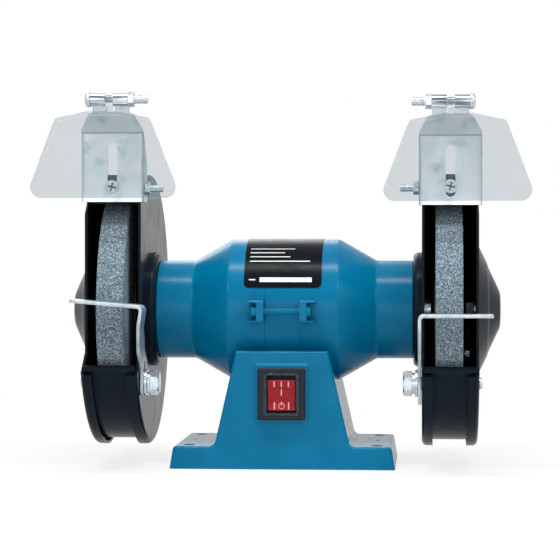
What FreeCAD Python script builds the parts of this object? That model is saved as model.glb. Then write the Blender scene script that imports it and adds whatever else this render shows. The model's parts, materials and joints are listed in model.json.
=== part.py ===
import FreeCAD, Part
import math
import os

from FreeCAD import Vector

# Bench grinder. Millimetres, +Z up, operator in front at -Y, motor shaft along X.
# The origin is the middle of the base's underside.

# Shared clearances
fit_gap = 0.1          # round a screw, spigot or seat
running_gap = 0.05     # round a turning shaft or pin
slide_gap = 0.35       # between plates that move past each other
margin = 1.0           # by which a cutter or a joined piece runs past a face
far_margin = 20.0

# Base casting
axis_height = 94.0
base_depth = 94.0
foot_width_bottom = 134.7
foot_width_top = 130.4
foot_height = 13.5
pillar_width_bottom = 81.0
pillar_width_top = 55.0
pillar_below_axis = 23.5
base_wall = 3.5
base_edge_radius = 2.0
foot_corner_radius = 2.5
pillar_root_radius = 4.0
saddle_wall = 4.0
wall_slant = 1.03       # slanted wall's thickness along X over its true thickness
bench_hole_spacing_x = 113.0
bench_hole_spacing_y = 72.0
bench_hole_radius = 3.5
bench_boss_radius = 8.0
foot_dimple_radius = 2.0
foot_dimple_depth = 1.2
foot_dimple_tip = 0.2

# Screws that hold the motor down, from inside the base
saddle_screw_x = 22.0
saddle_screw_radius = 2.5
saddle_screw_across = 8.0
saddle_screw_head = 3.5
saddle_boss_radius = 7.0
saddle_boss_drop = 3.0
saddle_pad_half = 7.0
saddle_pad_depth = 6.7
saddle_screw_short = 0.3

# Bottom cover
cover_plate_length = 90.0
cover_plate_sheet = 1.5
cover_plate_recess = 3.0
cover_post_x = 33.0
cover_post_radius = 4.0
cover_post_height = 8.0
cover_screw_radius = 1.5
cover_screw_head_radius = 2.8
cover_screw_head = 1.8
cover_screw_length = 7.0

# Motor housing
motor_radius = 42.9
stator_band = 21.5     # painted stator that shows between the end bells
barrel_length = 66.0
cone_length = 22.5
neck_radius = 30.0
neck_length = 22.25
bell_wall = 3.5
barrel_edge_radius = 4.0
neck_root_radius = 5.0
neck_edge_radius = 0.8
rim_lip = 1.9          # end bell's rim over the stator
rim_lap = 4.0
hub_wall = 3.5
end_wall = 10.75

# Clamp lugs and screws through them
lug_thickness = 4.2
lug_height = 13.7
lug_reach = 8.5
lug_root = 0.9         # how far a lug is sunk in the housing wall
lug_rib = 1.5
lug_rib_length = 5.0
lug_corner_radius = 2.0
lug_screw_reach = 4.6
lug_screw_radius = 2.0
lug_screw_head_radius = 3.8
lug_screw_head = 2.6
lug_nut_across = 7.0
lug_nut = 3.2
lug_screw_tail = 1.5

# Nameplate sticker
plate_width = 46.4
plate_sheet = 0.4
plate_from = 19.0      # degrees above the front horizontal
plate_to = 97.0
plate_corner_radius = 3.0

# Stator, rotor and bearings
stator_bore = 24.3
air_gap = 0.3
slot_count = 12
slot_width = 6.0
slot_mouth = 2.0
slot_inner = 27.0
slot_outer = 36.0
coil_gap = 0.2
coil_end_length = 14.0
coil_round = 3.5
rotor_ring_length = 3.5
rotor_ring_radius = 22.0
core_shaft_radius = 9.0
bearing_bore = 7.5
bearing_outer = 17.5
bearing_width = 11.0
bearing_race = 2.9
ball_radius = 2.95
ball_count = 8
bearing_shoulder = 8.25 # wall outside the bearing
bearing_hole = 10.0    # radius of the hole past the bearing shoulder

# Wheels and what clamps them
wheel_radius = 75.0
wheel_width = 16.0
wheel_bore = 6.35
wheel_edge = 0.6
wheel_side_gap = 6.5   # from the inner guard's sheet to the wheel
flange_radius = 29.0
flange_thickness = 2.5
flange_relief = 0.6
flange_land = 6.0
flange_edge_radius = 0.4
thread_radius = 5.0
wheel_nut_across = 16.0
wheel_nut_height = 5.0
shaft_tail = 5.5
shaft_chamfer = 1.0

# Guards
guard_sheet = 1.5
guard_width = 33.5
boss_height = 5.25
boss_radius = 35.0
boss_edge_radius = 3.0
boss_hole_radius = 12.0
band_clearance = 2.8
rim_step = 3.7
rim_width = 6.5
rim_edge_radius = 3.0
opening_setback = 19.0   # side plates' front edges behind the wheel's front
opening_step_top = 24.0  # below the axis, where the edges turn out to the rims
opening_step_low = 37.0
hem_radius = 2.0
hem_drop = 33.0
guard_screw_circle = 23.0
guard_screw_radius = 2.5
guard_screw_head_radius = 4.4
guard_screw_head = 3.0
guard_screw_length = 10.0
guard_screw_angles = (90.0, 210.0, 330.0)

# Dome of the outer cover, as steps out from its plate and radii
dome_height = 14.2
dome_crown_radius = 10.5
dome_crown_round = 9.0
dome_ledge_step = 7.1
dome_ledge_radius = 25.5
dome_shoulder_step = 5.9
dome_shoulder_radius = 29.0
dome_foot_radius = 41.0
dome_foot_round = 6.0
dome_ledge_round = 2.5

# Cover screws, on tabs of the guard band
cover_screw_inset = 6.4  # from the band's inner face
cover_screw_angles = (-35.6, 95.0, 205.0)
tab_width = 12.0
tab_length = 11.8
pan_screw_radius = 2.0
pan_head_radius = 3.35
pan_head = 2.0
pan_length = 7.0
pan_nut_across = 7.0
pan_nut = 3.0

# Shield bracket and its fixings
bracket_sheet = 1.4
bracket_bend_radius = 0.8
bracket_bottom = 63.0    # above the axis
bracket_bend = 104.0
bracket_flange = 17.5
bracket_flange_low = 22.0
bracket_travel_down = 12.0
bracket_travel_up = 0.8
bracket_lift_left = 2.0  # how much higher the left bracket is set
bracket_slot_radius = 2.85
bracket_slot_high = 95.2
neck_half_width = 13.5
neck_overlap = 3.0
neck_round = 2.0
neck_height = 114.5
hinge_height = 122.8
hinge_reach = 11.0       # hinge axis in front of the bracket plate's middle
knuckle_bore = 2.6
knuckle_width = 8.6
knuckle_gap = 4.8
knuckle_slot_height = 116.0
knuckle_slot_round = 1.5
knuckle_round = 0.8
guard_web_height = 63.9  # underside of the web from the band to its front tab
guard_ear_height = 81.0
guard_ear_back = 36.0
guard_ear_flat = 45.0
guard_ear_fall = 72.0
guard_ear_radius = 4.0
front_tab_width = 19.0
bracket_screw_height = 73.8
bracket_screw_radius = 2.5
bracket_head_radius = 4.1
bracket_head = 2.6
bracket_nut_across = 8.0
bracket_nut = 4.0
side_bolt_setback = 6.0  # behind the side plates' front edges
side_bolt_height = 73.0
side_bolt_radius = 2.0
side_head_radius = 3.0
side_head = 2.2
side_nut_across = 7.0
side_nut = 3.2
side_tail = 7.7

# Hinge bolt
hinge_bolt_radius = 2.45
hinge_head_radius = 4.6
hinge_head = 3.2
hinge_nut_across = 8.0
hinge_nut = 3.6
hinge_tail = 8.0
hinge_side_gap = 0.1

# Eye shield
shield_sheet = 2.4
shield_bottom = 65.0     # above the axis
shield_bottom_half = 46.0 # to the sharp corners, before they are rounded
shield_shoulder_half = 28.0
shield_offset = 4.0      # plate's middle outward of the hinge's
shield_shoulder = 47.0   # above the shield's bottom edge
shield_crest = 51.0
shield_crest_half = 9.0
shield_corner_radius = 6.5
shield_shoulder_radius = 3.0
shield_rib = 2.4
shield_rib_height = 1.4
shield_rib_from = 22.0
shield_knuckle_radius = 4.2
shield_knuckle_gap = 0.2

# Tool rests
rest_sheet = 2.0
rest_table_width = 43.2
rest_table_depth = 18.5
rest_wheel_gap = 2.5
rest_table_top = 0.2     # below the axis on the right side
rest_knee = 28.0         # below the axis, where the left rest's leg starts to lean
rest_lean_left = 9.0     # degrees
rest_slope_left = 5.0
rest_lift_left = 4.7     # how much higher the left rest is set
rest_bend_radius = 1.5
rest_leg_bottom = 54.2
rest_leg_gap = 0.2
rest_bolt_drop = 42.0    # bolt below the axis
rest_bolt_setback = 21.0 # bolt behind the wheel's front
rest_bolt_radius = 4.0
rest_slot_gap = 0.2
rest_slot_up = 3.8
rest_slot_down = 5.2
rest_foot_half = 9.5
rest_corner_radius = 5.0
rest_leg_shoulder = 12.0
rest_leg_heel = 34.0
rest_bolt_across = 13.0
rest_bolt_head = 5.3
rest_bolt_chamfer = 0.2
rest_washer_radius = 8.0
rest_washer = 1.6
rest_spring_washer_radius = 6.3
rest_spring_washer = 1.8
rest_nut_across = 13.0
rest_nut = 5.0
rest_bolt_tail = 0.4

# Switch
switch_below_axis = 49.0
switch_pad_half = 15.5
switch_pad_step = 1.5
switch_pad_up = 17.0
switch_pad_down = 19.0
switch_pad_ramp = 5.0
switch_pad_round_low = 3.0
switch_pad_round_top = 1.0
bezel_width = 28.3
bezel_height = 31.0
bezel_thickness = 2.4
bezel_radius = 1.5
bezel_edge_radius = 1.0
switch_body_width = 24.6
switch_body_height = 27.4
switch_body_depth = 15.5
dust_frame_width = 21.3
dust_frame_height = 25.5
dust_frame_wall = 1.6
dust_frame_seat = 0.9
dust_frame_rise = 1.4
dust_frame_edge_radius = 0.6
rocker_width = 16.2
rocker_height = 19.9
rocker_swing = 18.0      # degrees from off to on
rocker_edge = 5.6        # from the pivot to the rocker's front corners
rocker_dip = 4.4
rocker_tail = 4.0
rocker_tail_half = 4.0
rocker_well_gap = 1.5
rocker_corner_radius = 0.5
rocker_side_gap = 0.3
rocker_pivot_depth = 3.5 # behind the pad's face
rocker_pin_radius = 1.2
rocker_pin_length = 1.6
terminal_width = 6.3
terminal_sheet = 0.8
terminal_length = 9.0
terminal_pitch = 8.0

# Capacitor and its strap
capacitor_radius = 12.0
capacitor_length = 48.0
capacitor_y = 18.0
capacitor_end_round = 1.5
capacitor_gap = 0.2
strap_sheet = 1.0
strap_width = 12.0
strap_foot = 9.0
strap_screw_radius = 1.5
strap_head_radius = 2.8
strap_head = 1.8
strap_screw_tail = 1.2

# Cord grommet in the rear wall
grommet_x = 22.0
grommet_height = 26.0
grommet_bore = 4.0
grommet_neck_radius = 6.5
grommet_flange_radius = 9.0
grommet_flange = 2.2
grommet_lip = 1.0
grommet_round_in = 0.6
grommet_round_out = 0.8

# Places worked out from the sizes above
half_depth = base_depth / 2
pillar_top = axis_height - pillar_below_axis
barrel_end = barrel_length / 2
cone_end = barrel_end + cone_length
neck_end = cone_end + neck_length
plate_x = neck_end + boss_height
cover_x = plate_x + guard_width
guard_mid = plate_x + guard_width / 2
wheel_in = plate_x + guard_sheet + wheel_side_gap
wheel_out = wheel_in + wheel_width
band_inner = wheel_radius + band_clearance
band_outer = band_inner + guard_sheet
rim_radius = band_outer + rim_step
chord_y = wheel_radius - opening_setback
mouth_y = math.sqrt(band_inner ** 2 - guard_web_height ** 2)
cover_screw_circle = band_inner - cover_screw_inset
tab_inner = band_inner - tab_length
bracket_slot_low = bracket_screw_height - bracket_travel_up - bracket_lift_left - slide_gap
stator_end = stator_band / 2 + rim_lap
bearing_out = neck_end - bearing_shoulder
bearing_in = bearing_out - bearing_width
ball_pitch = (bearing_bore + bearing_outer) / 2
switch_height = axis_height - switch_below_axis
pad_y = half_depth + switch_pad_step
pivot_y = -pad_y + rocker_pivot_depth
bracket_mid_y = chord_y + slide_gap + bracket_sheet / 2
bracket_front_y = bracket_mid_y + bracket_sheet / 2
hinge_y = bracket_mid_y + hinge_reach
knuckle_radius = knuckle_bore + bracket_sheet
knuckle_end = knuckle_gap / 2 + knuckle_width
rest_bolt_y = wheel_radius - rest_bolt_setback
rest_leg_out = plate_x - rest_leg_gap
rest_leg_in = rest_leg_out - rest_sheet
side_bolt_y = chord_y - side_bolt_setback
cap_floor = cover_plate_recess + cover_plate_sheet
capacitor_height = cap_floor + capacitor_radius + capacitor_gap


def at(x, y, up):
    return Vector(x, y, axis_height + up)


def in_xr(x, radius):
    return at(x, 0, radius)


def in_yz(y, up):
    return at(0, y, up)


def in_xz(x, up):
    return at(x, 0, up)


def on_base(x, height):
    return Vector(x, 0, height)


def in_xy(x, y):
    return at(x, y, 0)


def outline(points, place):
    """Face inside a closed polygon whose corners (u, v, radius) may be rounded."""
    corners = []
    count = len(points)
    for index in range(count):
        here = place(*points[index][:2])
        radius = points[index][2] if len(points[index]) > 2 else 0
        if radius == 0:
            corners.append((here, None, here))
            continue
        back = place(*points[index - 1][:2]) - here
        ahead = place(*points[(index + 1) % count][:2]) - here
        half = back.getAngle(ahead) / 2
        back.normalize()
        ahead.normalize()
        middle = back + ahead
        middle.normalize()
        reach = radius / math.tan(half)
        depth = radius / math.sin(half) - radius
        corners.append((here + back * reach, here + middle * depth, here + ahead * reach))
    edges = []
    for index in range(count):
        start, through, end = corners[index]
        if through is not None:
            edges.append(Part.Arc(start, through, end).toShape())
        onward = corners[(index + 1) % count][0]
        if (onward - end).Length > 1e-6:
            edges.append(Part.makeLine(end, onward))
    return Part.Face(Part.Wire(edges))


def turned(points):
    """Solid of revolution about the motor axis, from (x, radius) corners."""
    face = outline(points, in_xr)
    return face.revolve(at(0, 0, 0), Vector(1, 0, 0), 360)


def sheet_yz(points, x_low, x_high):
    face = outline(points, in_yz)
    face.translate(Vector(x_low, 0, 0))
    return face.extrude(Vector(x_high - x_low, 0, 0))


def sheet_xz(points, y_low, y_high, place=in_xz):
    face = outline(points, place)
    face.translate(Vector(0, y_low, 0))
    return face.extrude(Vector(0, y_high - y_low, 0))


def rod(start, end, radius):
    return Part.makeCylinder(radius, (end - start).Length, start, end - start)


def rod_x(x_low, x_high, y, up, radius):
    return rod(at(x_low, y, up), at(x_high, y, up), radius)


def tube_x(x_low, x_high, y, up, outer, inner):
    return rod_x(x_low, x_high, y, up, outer).cut(rod_x(x_low, x_high, y, up, inner))


def hexagon(start, end, across):
    """Hexagonal prism from start to end."""
    along = end - start
    side = Vector(0, 0, 1) if abs(along.z) < 1e-6 else Vector(1, 0, 0)
    corner = side * (across / math.sqrt(3))
    turn = FreeCAD.Rotation(along, 60)
    points = []
    for step in range(6):
        points.append(start + corner)
        corner = turn.multVec(corner)
    return Part.Face(Part.makePolygon(points + points[:1])).extrude(along)


def nut(start, end, across, bore):
    return hexagon(start, end, across).cut(rod(start, end, bore))


def box(x_low, x_high, y_low, y_high, z_low, z_high):
    corner = Vector(x_low, y_low, z_low)
    return Part.makeBox(x_high - x_low, y_high - y_low, z_high - z_low, corner)


def domed_head(start, end, radius, round_share=0.6):
    """Pan or round head, flat at start and rounded towards end."""
    head = rod(start, end, radius)
    rim = [edge for edge in head.Edges if (edge.CenterOfMass - end).Length < 1e-6]
    return head.makeFillet((end - start).Length * round_share, rim)


def slot_x(x_low, x_high, y, up_low, up_high, radius):
    """Cutter for an upright slot through a plate that faces X."""
    ends = rod_x(x_low, x_high, y, up_low, radius).fuse(rod_x(x_low, x_high, y, up_high, radius))
    middle = box(x_low, x_high, y - radius, y + radius, axis_height + up_low, axis_height + up_high)
    return ends.fuse(middle)


def slot_y(y_low, y_high, x, up_low, up_high, radius):
    """Cutter for an upright slot through a plate that faces Y."""
    low = rod(at(x, y_low, up_low), at(x, y_high, up_low), radius)
    high = rod(at(x, y_low, up_high), at(x, y_high, up_high), radius)
    middle = box(x - radius, x + radius, y_low, y_high, axis_height + up_low, axis_height + up_high)
    return low.fuse([high, middle])


def spot(angle, radius):
    """Place (y, up) on a circle round the motor axis, angles from the front and upwards."""
    turn = math.radians(angle)
    return -radius * math.cos(turn), radius * math.sin(turn)


def mirrored(shape):
    return shape.mirror(Vector(0, 0, 0), Vector(1, 0, 0))


def save(name, solids):
    shape = solids[0] if len(solids) == 1 else Part.makeCompound(solids)
    shape.removeSplitter().exportStep("parts/" + name + ".step")


def save_lifted(name, shape):
    """Right and left piece of a shield bracket, the left one set higher."""
    save("right_" + name, [shape])
    raised = mirrored(shape)
    raised.translate(Vector(0, 0, bracket_lift_left))
    save("left_" + name, [raised])


def save_pair(name, solids):
    """One node for a group that both sides have."""
    save(name, solids + [mirrored(solid) for solid in solids])


def save_sides(name, solid):
    """The same piece on both sides, as two nodes."""
    save("right_" + name, [solid])
    save("left_" + name, [mirrored(solid)])


def pillar_half(height):
    slope = (pillar_width_bottom - pillar_width_top) / 2 / (pillar_top - foot_height)
    return pillar_width_bottom / 2 - slope * (height - foot_height)


def bench_holes():
    places = []
    for side in (-1, 1):
        for end in (-1, 1):
            places.append((side * bench_hole_spacing_x / 2, end * bench_hole_spacing_y / 2))
    return places


def cover_posts():
    inset = half_depth - base_wall - cover_post_radius + margin
    return [(x, y) for x in (-cover_post_x, cover_post_x) for y in (-inset, inset)]


def base_outline(inset, top, foot, low):
    """Inverted T of the base, drawn in by a wall, from low to top."""
    slanted = inset * wall_slant
    foot_low = foot_width_bottom / 2 - inset
    foot_high = foot_width_top / 2 - inset
    corner = foot_corner_radius if inset == 0 else 0
    root = pillar_root_radius if inset == 0 else 0
    half = [
        (foot_low, low),
        (foot_high, foot, corner),
        (pillar_half(foot) - slanted, foot, root),
        (pillar_half(top) - slanted, top),
    ]
    return half + [(-point[0],) + tuple(point[1:]) for point in reversed(half)]


def base_casting():
    outer = sheet_xz(base_outline(0, pillar_top, foot_height, 0), -half_depth, half_depth, on_base)
    rounded = []
    for edge in outer.Edges:
        spread = edge.BoundBox
        flat = spread.YLength < 1e-6
        if flat and spread.ZMax > 1e-6:
            rounded.append(edge)
    outer = outer.makeFillet(base_edge_radius, rounded)
    low = switch_height - switch_pad_down
    high = switch_height + switch_pad_up
    pad = outline([
        (-half_depth + base_wall / 2, low - axis_height),
        (-half_depth, low - axis_height),
        (-pad_y, low + switch_pad_ramp - axis_height, switch_pad_round_low),
        (-pad_y, high - axis_height, switch_pad_round_top),
        (-half_depth, high + switch_pad_step - axis_height),
        (-half_depth + base_wall / 2, high + switch_pad_step - axis_height),
    ], in_yz)
    pad.translate(Vector(-switch_pad_half, 0, 0))
    outer = outer.fuse(pad.extrude(Vector(2 * switch_pad_half, 0, 0)))

    hollow_y = half_depth - base_wall
    hollow_top = pillar_top - base_wall
    hollow = sheet_xz(
        base_outline(base_wall, hollow_top, foot_height - base_wall, 0), -hollow_y, hollow_y, on_base)
    saddle = motor_radius + fit_gap
    reach = foot_width_bottom
    hollow = hollow.cut(rod_x(-reach, reach, 0, 0, saddle + saddle_wall))
    for x, y in bench_holes():
        hollow = hollow.cut(rod(Vector(x, y, 0), Vector(x, y, foot_height), bench_boss_radius))
    for x, y in cover_posts():
        start = Vector(x, y, cap_floor)
        hollow = hollow.cut(rod(start, start + Vector(0, 0, cover_post_height), cover_post_radius))
    boss_low = axis_height - saddle - saddle_wall - saddle_boss_drop
    for x in (-saddle_screw_x, saddle_screw_x):
        hollow = hollow.cut(rod(Vector(x, 0, boss_low), at(x, 0, -motor_radius), saddle_boss_radius))
    casting = outer.cut([hollow, rod_x(-reach, reach, 0, 0, saddle)])

    cuts = []
    for x, y in bench_holes():
        cuts.append(rod(Vector(x, y, 0), Vector(x, y, foot_height), bench_hole_radius))
    for x, y in cover_posts():
        start = Vector(x, y, cap_floor)
        end = start + Vector(0, 0, cover_screw_length)
        cuts.append(rod(start, end, cover_screw_radius + fit_gap))
    for x in (-saddle_screw_x, saddle_screw_x):
        cuts.append(rod(Vector(x, 0, boss_low), at(x, 0, 0), saddle_screw_radius + fit_gap))
        side = bench_hole_spacing_x / 2 * (1 if x > 0 else -1)
        tip = Vector(side, 0, foot_height - foot_dimple_depth)
        cone = Part.makeCone(foot_dimple_tip, foot_dimple_radius, foot_dimple_depth, tip)
        cuts.append(cone)
    half_w = switch_body_width / 2 + fit_gap
    half_h = switch_body_height / 2 + fit_gap
    cuts.append(box(-half_w, half_w, -pad_y, -hollow_y, switch_height - half_h, switch_height + half_h))
    rear = Vector(grommet_x, hollow_y, grommet_height)
    cuts.append(rod(rear, rear + Vector(0, base_wall, 0), grommet_neck_radius + fit_gap))
    return casting.cut(cuts)


def bottom_cover():
    half_x = cover_plate_length / 2
    half_y = half_depth - base_wall - slide_gap
    plate = box(-half_x, half_x, -half_y, half_y, cover_plate_recess, cap_floor)
    upright = [edge for edge in plate.Edges if edge.BoundBox.ZLength > cover_plate_sheet / 2]
    plate = plate.makeFillet(pillar_root_radius, upright)
    holes = []
    for x, y in cover_posts() + strap_screw_places():
        low = Vector(x, y, cover_plate_recess)
        holes.append(rod(low, Vector(x, y, cap_floor), cover_screw_radius + fit_gap))
    return plate.cut(holes)


def bottom_cover_screws():
    screws = []
    for x, y in cover_posts():
        seat = Vector(x, y, cover_plate_recess)
        head = domed_head(seat, seat - Vector(0, 0, cover_screw_head), cover_screw_head_radius)
        end = Vector(x, y, cap_floor + cover_screw_length - fit_gap)
        screws.append(head.fuse(rod(seat, end, cover_screw_radius)))
    return screws


def strap_screw_places():
    reach = capacitor_radius + strap_sheet + strap_foot / 2 + fit_gap
    return [(0, capacitor_y - reach), (0, capacitor_y + reach)]


def run_capacitor():
    center = capacitor_height
    start = Vector(-capacitor_length / 2, capacitor_y, center)
    can = rod(start, start + Vector(capacitor_length, 0, 0), capacitor_radius)
    ends = [edge for edge in can.Edges if edge.BoundBox.XLength < 1e-6]
    return can.makeFillet(capacitor_end_round, ends)


def capacitor_strap():
    inner = capacitor_radius + fit_gap
    outer = inner + strap_sheet
    half = strap_width / 2
    low = Vector(-half, capacitor_y, capacitor_height)
    loop = rod(low, low + Vector(strap_width, 0, 0), outer)
    legs = box(-half, half, capacitor_y - outer, capacitor_y + outer, cap_floor, capacitor_height)
    foot = outer + strap_foot
    feet = box(-half, half, capacitor_y - foot, capacitor_y + foot, cap_floor, cap_floor + strap_sheet)
    room = rod(low, low + Vector(strap_width, 0, 0), inner)
    under = box(-half, half, capacitor_y - inner, capacitor_y + inner, cap_floor, capacitor_height)
    upper = box(-half, half, capacitor_y - outer, capacitor_y + outer,
                capacitor_height, capacitor_height + outer)
    strap = loop.common(upper).fuse([legs, feet]).cut([room, under])
    holes = []
    for x, y in strap_screw_places():
        start = Vector(x, y, cap_floor)
        holes.append(rod(start, start + Vector(0, 0, strap_sheet), strap_screw_radius + fit_gap))
    return strap.cut(holes).Solids


def strap_screws():
    screws = []
    for x, y in strap_screw_places():
        seat = Vector(x, y, cap_floor + strap_sheet)
        head = domed_head(seat, seat + Vector(0, 0, strap_head), strap_head_radius)
        screws.append(head.fuse(rod(seat, Vector(x, y, strap_screw_tail), strap_screw_radius)))
    return screws


def cord_grommet():
    wall_in = half_depth - base_wall
    profile = [
        (wall_in - grommet_flange, grommet_bore),
        (wall_in - grommet_flange, grommet_flange_radius - grommet_lip, grommet_round_in),
        (wall_in, grommet_flange_radius - grommet_lip),
        (wall_in, grommet_neck_radius),
        (half_depth, grommet_neck_radius),
        (half_depth, grommet_flange_radius),
        (half_depth + grommet_flange, grommet_flange_radius - grommet_lip, grommet_round_out),
        (half_depth + grommet_flange, grommet_bore),
    ]
    center = Vector(grommet_x, 0, grommet_height)
    face = outline(profile, lambda y, radius: center + Vector(0, y, radius))
    return face.revolve(center, Vector(0, 1, 0), 360)


def end_bell():
    seam = stator_band / 2
    inside = motor_radius - bell_wall
    neck_inside = neck_radius - bell_wall
    wall_start = neck_end - end_wall
    hub = bearing_outer + hub_wall
    lap = stator_end + fit_gap
    bell = turned([
        (seam, motor_radius),
        (barrel_end, motor_radius, barrel_edge_radius),
        (cone_end, neck_radius, neck_root_radius),
        (neck_end, neck_radius, neck_edge_radius),
        (neck_end, bearing_hole),
        (bearing_out, bearing_hole),
        (bearing_out, bearing_outer + running_gap / 2),
        (bearing_in - 1.0, bearing_outer + running_gap / 2),
        (bearing_in - margin, hub),
        (wall_start, hub),
        (wall_start, neck_inside),
        (cone_end - bell_wall / 2, neck_inside, neck_root_radius),
        (barrel_end - bell_wall / 4, inside, barrel_edge_radius),
        (lap, inside),
        (lap, motor_radius - rim_lip),
        (seam, motor_radius - rim_lip),
    ])
    half = lug_height / 2
    parts = []
    for front in (-1, 1):
        near = front * (motor_radius - lug_root)
        far = front * (motor_radius + lug_reach)
        slab = outline([
            (near, -half), (far, -half, lug_corner_radius), (far, half, lug_corner_radius), (near, half),
        ], in_yz)
        slab.translate(Vector(seam, 0, 0))
        rib_end = lug_thickness + lug_rib_length
        block = slab.extrude(Vector(rib_end, 0, 0))
        low_y, high_y = sorted((near, far + front))
        pocket = box(seam + lug_thickness, seam + rib_end, low_y, high_y,
                     axis_height - half + lug_rib, axis_height + half - lug_rib)
        parts.append(block.cut(pocket))
    pad_in = motor_radius - saddle_pad_depth
    pad = box(saddle_screw_x - saddle_pad_half, saddle_screw_x + saddle_pad_half,
              -saddle_pad_half, saddle_pad_half, axis_height - inside - margin, axis_height - pad_in)
    bell = bell.fuse(parts + [pad])
    cuts = []
    lug_screw_y = motor_radius + lug_screw_reach
    for front in (-1, 1):
        hole = rod_x(seam, seam + lug_thickness, front * lug_screw_y, 0, lug_screw_radius + fit_gap)
        cuts.append(hole)
    cuts.append(rod(at(saddle_screw_x, 0, -motor_radius), at(saddle_screw_x, 0, -pad_in + margin),
                    saddle_screw_radius + fit_gap))
    for angle in guard_screw_angles:
        y, up = spot(angle, guard_screw_circle)
        cuts.append(rod_x(neck_end - guard_screw_length + guard_sheet, neck_end, y, up,
                          guard_screw_radius + fit_gap))
    return bell.cut(cuts)


def housing_screws_and_nuts():
    screws = []
    nuts = []
    seat = stator_band / 2 + lug_thickness
    for front in (-1, 1):
        y = front * (motor_radius + lug_screw_reach)
        head = domed_head(at(seat, y, 0), at(seat + lug_screw_head, y, 0), lug_screw_head_radius)
        tail = -seat - lug_nut - lug_screw_tail
        screws.append(head.fuse(rod_x(tail, seat, y, 0, lug_screw_radius)))
        nuts.append(nut(at(-seat, y, 0), at(-seat - lug_nut, y, 0), lug_nut_across,
                        lug_screw_radius + running_gap))
    return screws, nuts


def saddle_screws():
    screws = []
    low = axis_height - motor_radius - fit_gap - saddle_wall - saddle_boss_drop
    top = axis_height - motor_radius + saddle_pad_depth - saddle_screw_short
    for x in (-saddle_screw_x, saddle_screw_x):
        head = hexagon(Vector(x, 0, low - saddle_screw_head), Vector(x, 0, low), saddle_screw_across)
        screws.append(head.fuse(rod(Vector(x, 0, low), Vector(x, 0, top), saddle_screw_radius)))
    return screws


def nameplate():
    low = motor_radius + running_gap
    face = Part.makePolygon([
        at(-plate_width / 2, -low, 0), at(plate_width / 2, -low, 0),
        at(plate_width / 2, -low - plate_sheet, 0), at(-plate_width / 2, -low - plate_sheet, 0),
        at(-plate_width / 2, -low, 0),
    ])
    face = Part.Face(face)
    face.rotate(at(0, 0, 0), Vector(1, 0, 0), -plate_from)
    plate = face.revolve(at(0, 0, 0), Vector(1, 0, 0), plate_from - plate_to)
    corners = []
    for edge in plate.Edges:
        if abs(edge.Length - plate_sheet) < 1e-3:
            corners.append(edge)
    return plate.makeFillet(plate_corner_radius, corners)


def stator_core():
    seam = stator_band / 2
    spigot = motor_radius - rim_lip - fit_gap
    core = turned([
        (-stator_end, stator_bore), (stator_end, stator_bore), (stator_end, spigot), (seam, spigot),
        (seam, motor_radius), (-seam, motor_radius), (-seam, spigot), (-stator_end, spigot),
    ])
    slots = []
    for step in range(slot_count):
        slot = box(-stator_end, stator_end, -slot_width / 2, slot_width / 2,
                   axis_height + slot_inner, axis_height + slot_outer)
        mouth = box(-stator_end, stator_end, -slot_mouth / 2, slot_mouth / 2,
                    axis_height + stator_bore - margin, axis_height + slot_inner)
        for cutter in (slot, mouth):
            cutter.rotate(at(0, 0, 0), Vector(1, 0, 0), 360.0 * step / slot_count)
            slots.append(cutter)
    return core.cut(slots)


def stator_windings():
    low = slot_inner + coil_gap
    high = slot_outer - coil_gap
    start = stator_end + coil_gap
    end = start + coil_end_length
    ring = turned([(start, low), (end, low, coil_round), (end, high, coil_round), (start, high)])
    bars = []
    half = slot_width / 2 - coil_gap
    for step in range(slot_count):
        bar = box(-start - coil_round, start + coil_round, -half, half,
                  axis_height + low + coil_gap, axis_height + high - coil_round / 2)
        bar.rotate(at(0, 0, 0), Vector(1, 0, 0), 360.0 * step / slot_count)
        bars.append(bar)
    return ring.fuse([mirrored(ring)] + bars)


def rotor_core():
    radius = stator_bore - air_gap
    ring_end = stator_end + rotor_ring_length
    bore = core_shaft_radius + running_gap
    return turned([
        (-ring_end, bore), (ring_end, bore), (ring_end, rotor_ring_radius), (stator_end, rotor_ring_radius),
        (stator_end, radius), (-stator_end, radius), (-stator_end, rotor_ring_radius),
        (-ring_end, rotor_ring_radius),
    ])


def rotor_shaft():
    flange_seat = wheel_in - flange_thickness
    wheel_seat_end = wheel_out + flange_thickness - margin
    end = wheel_out + flange_thickness + wheel_nut_height + shaft_tail
    half = [
        (bearing_in, core_shaft_radius),
        (bearing_in, bearing_bore),
        (flange_seat, bearing_bore),
        (flange_seat, wheel_bore),
        (wheel_seat_end, wheel_bore),
        (wheel_seat_end, thread_radius),
        (end - shaft_chamfer, thread_radius),
        (end, thread_radius - shaft_chamfer),
        (end, 0),
    ]
    return turned(half + [(-x, radius) for x, radius in reversed(half)])


def bearing_races():
    groove = Part.makeTorus(ball_pitch, ball_radius + running_gap,
                            at((bearing_in + bearing_out) / 2, 0, 0), Vector(1, 0, 0))
    outer = tube_x(bearing_in, bearing_out, 0, 0, bearing_outer, bearing_outer - bearing_race)
    bore = bearing_bore + running_gap / 2
    inner = tube_x(bearing_in, bearing_out, 0, 0, bearing_bore + bearing_race, bore)
    return outer.cut(groove), inner.cut(groove)


def bearing_balls():
    balls = []
    for step in range(ball_count):
        y, up = spot(360.0 * step / ball_count, ball_pitch)
        balls.append(Part.makeSphere(ball_radius, at((bearing_in + bearing_out) / 2, y, up)))
    return balls


def grinding_wheel():
    bore = wheel_bore + fit_gap
    return turned([
        (wheel_in, bore), (wheel_in, wheel_radius - wheel_edge), (wheel_in + wheel_edge, wheel_radius),
        (wheel_out - wheel_edge, wheel_radius), (wheel_out, wheel_radius - wheel_edge), (wheel_out, bore),
    ])


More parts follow.
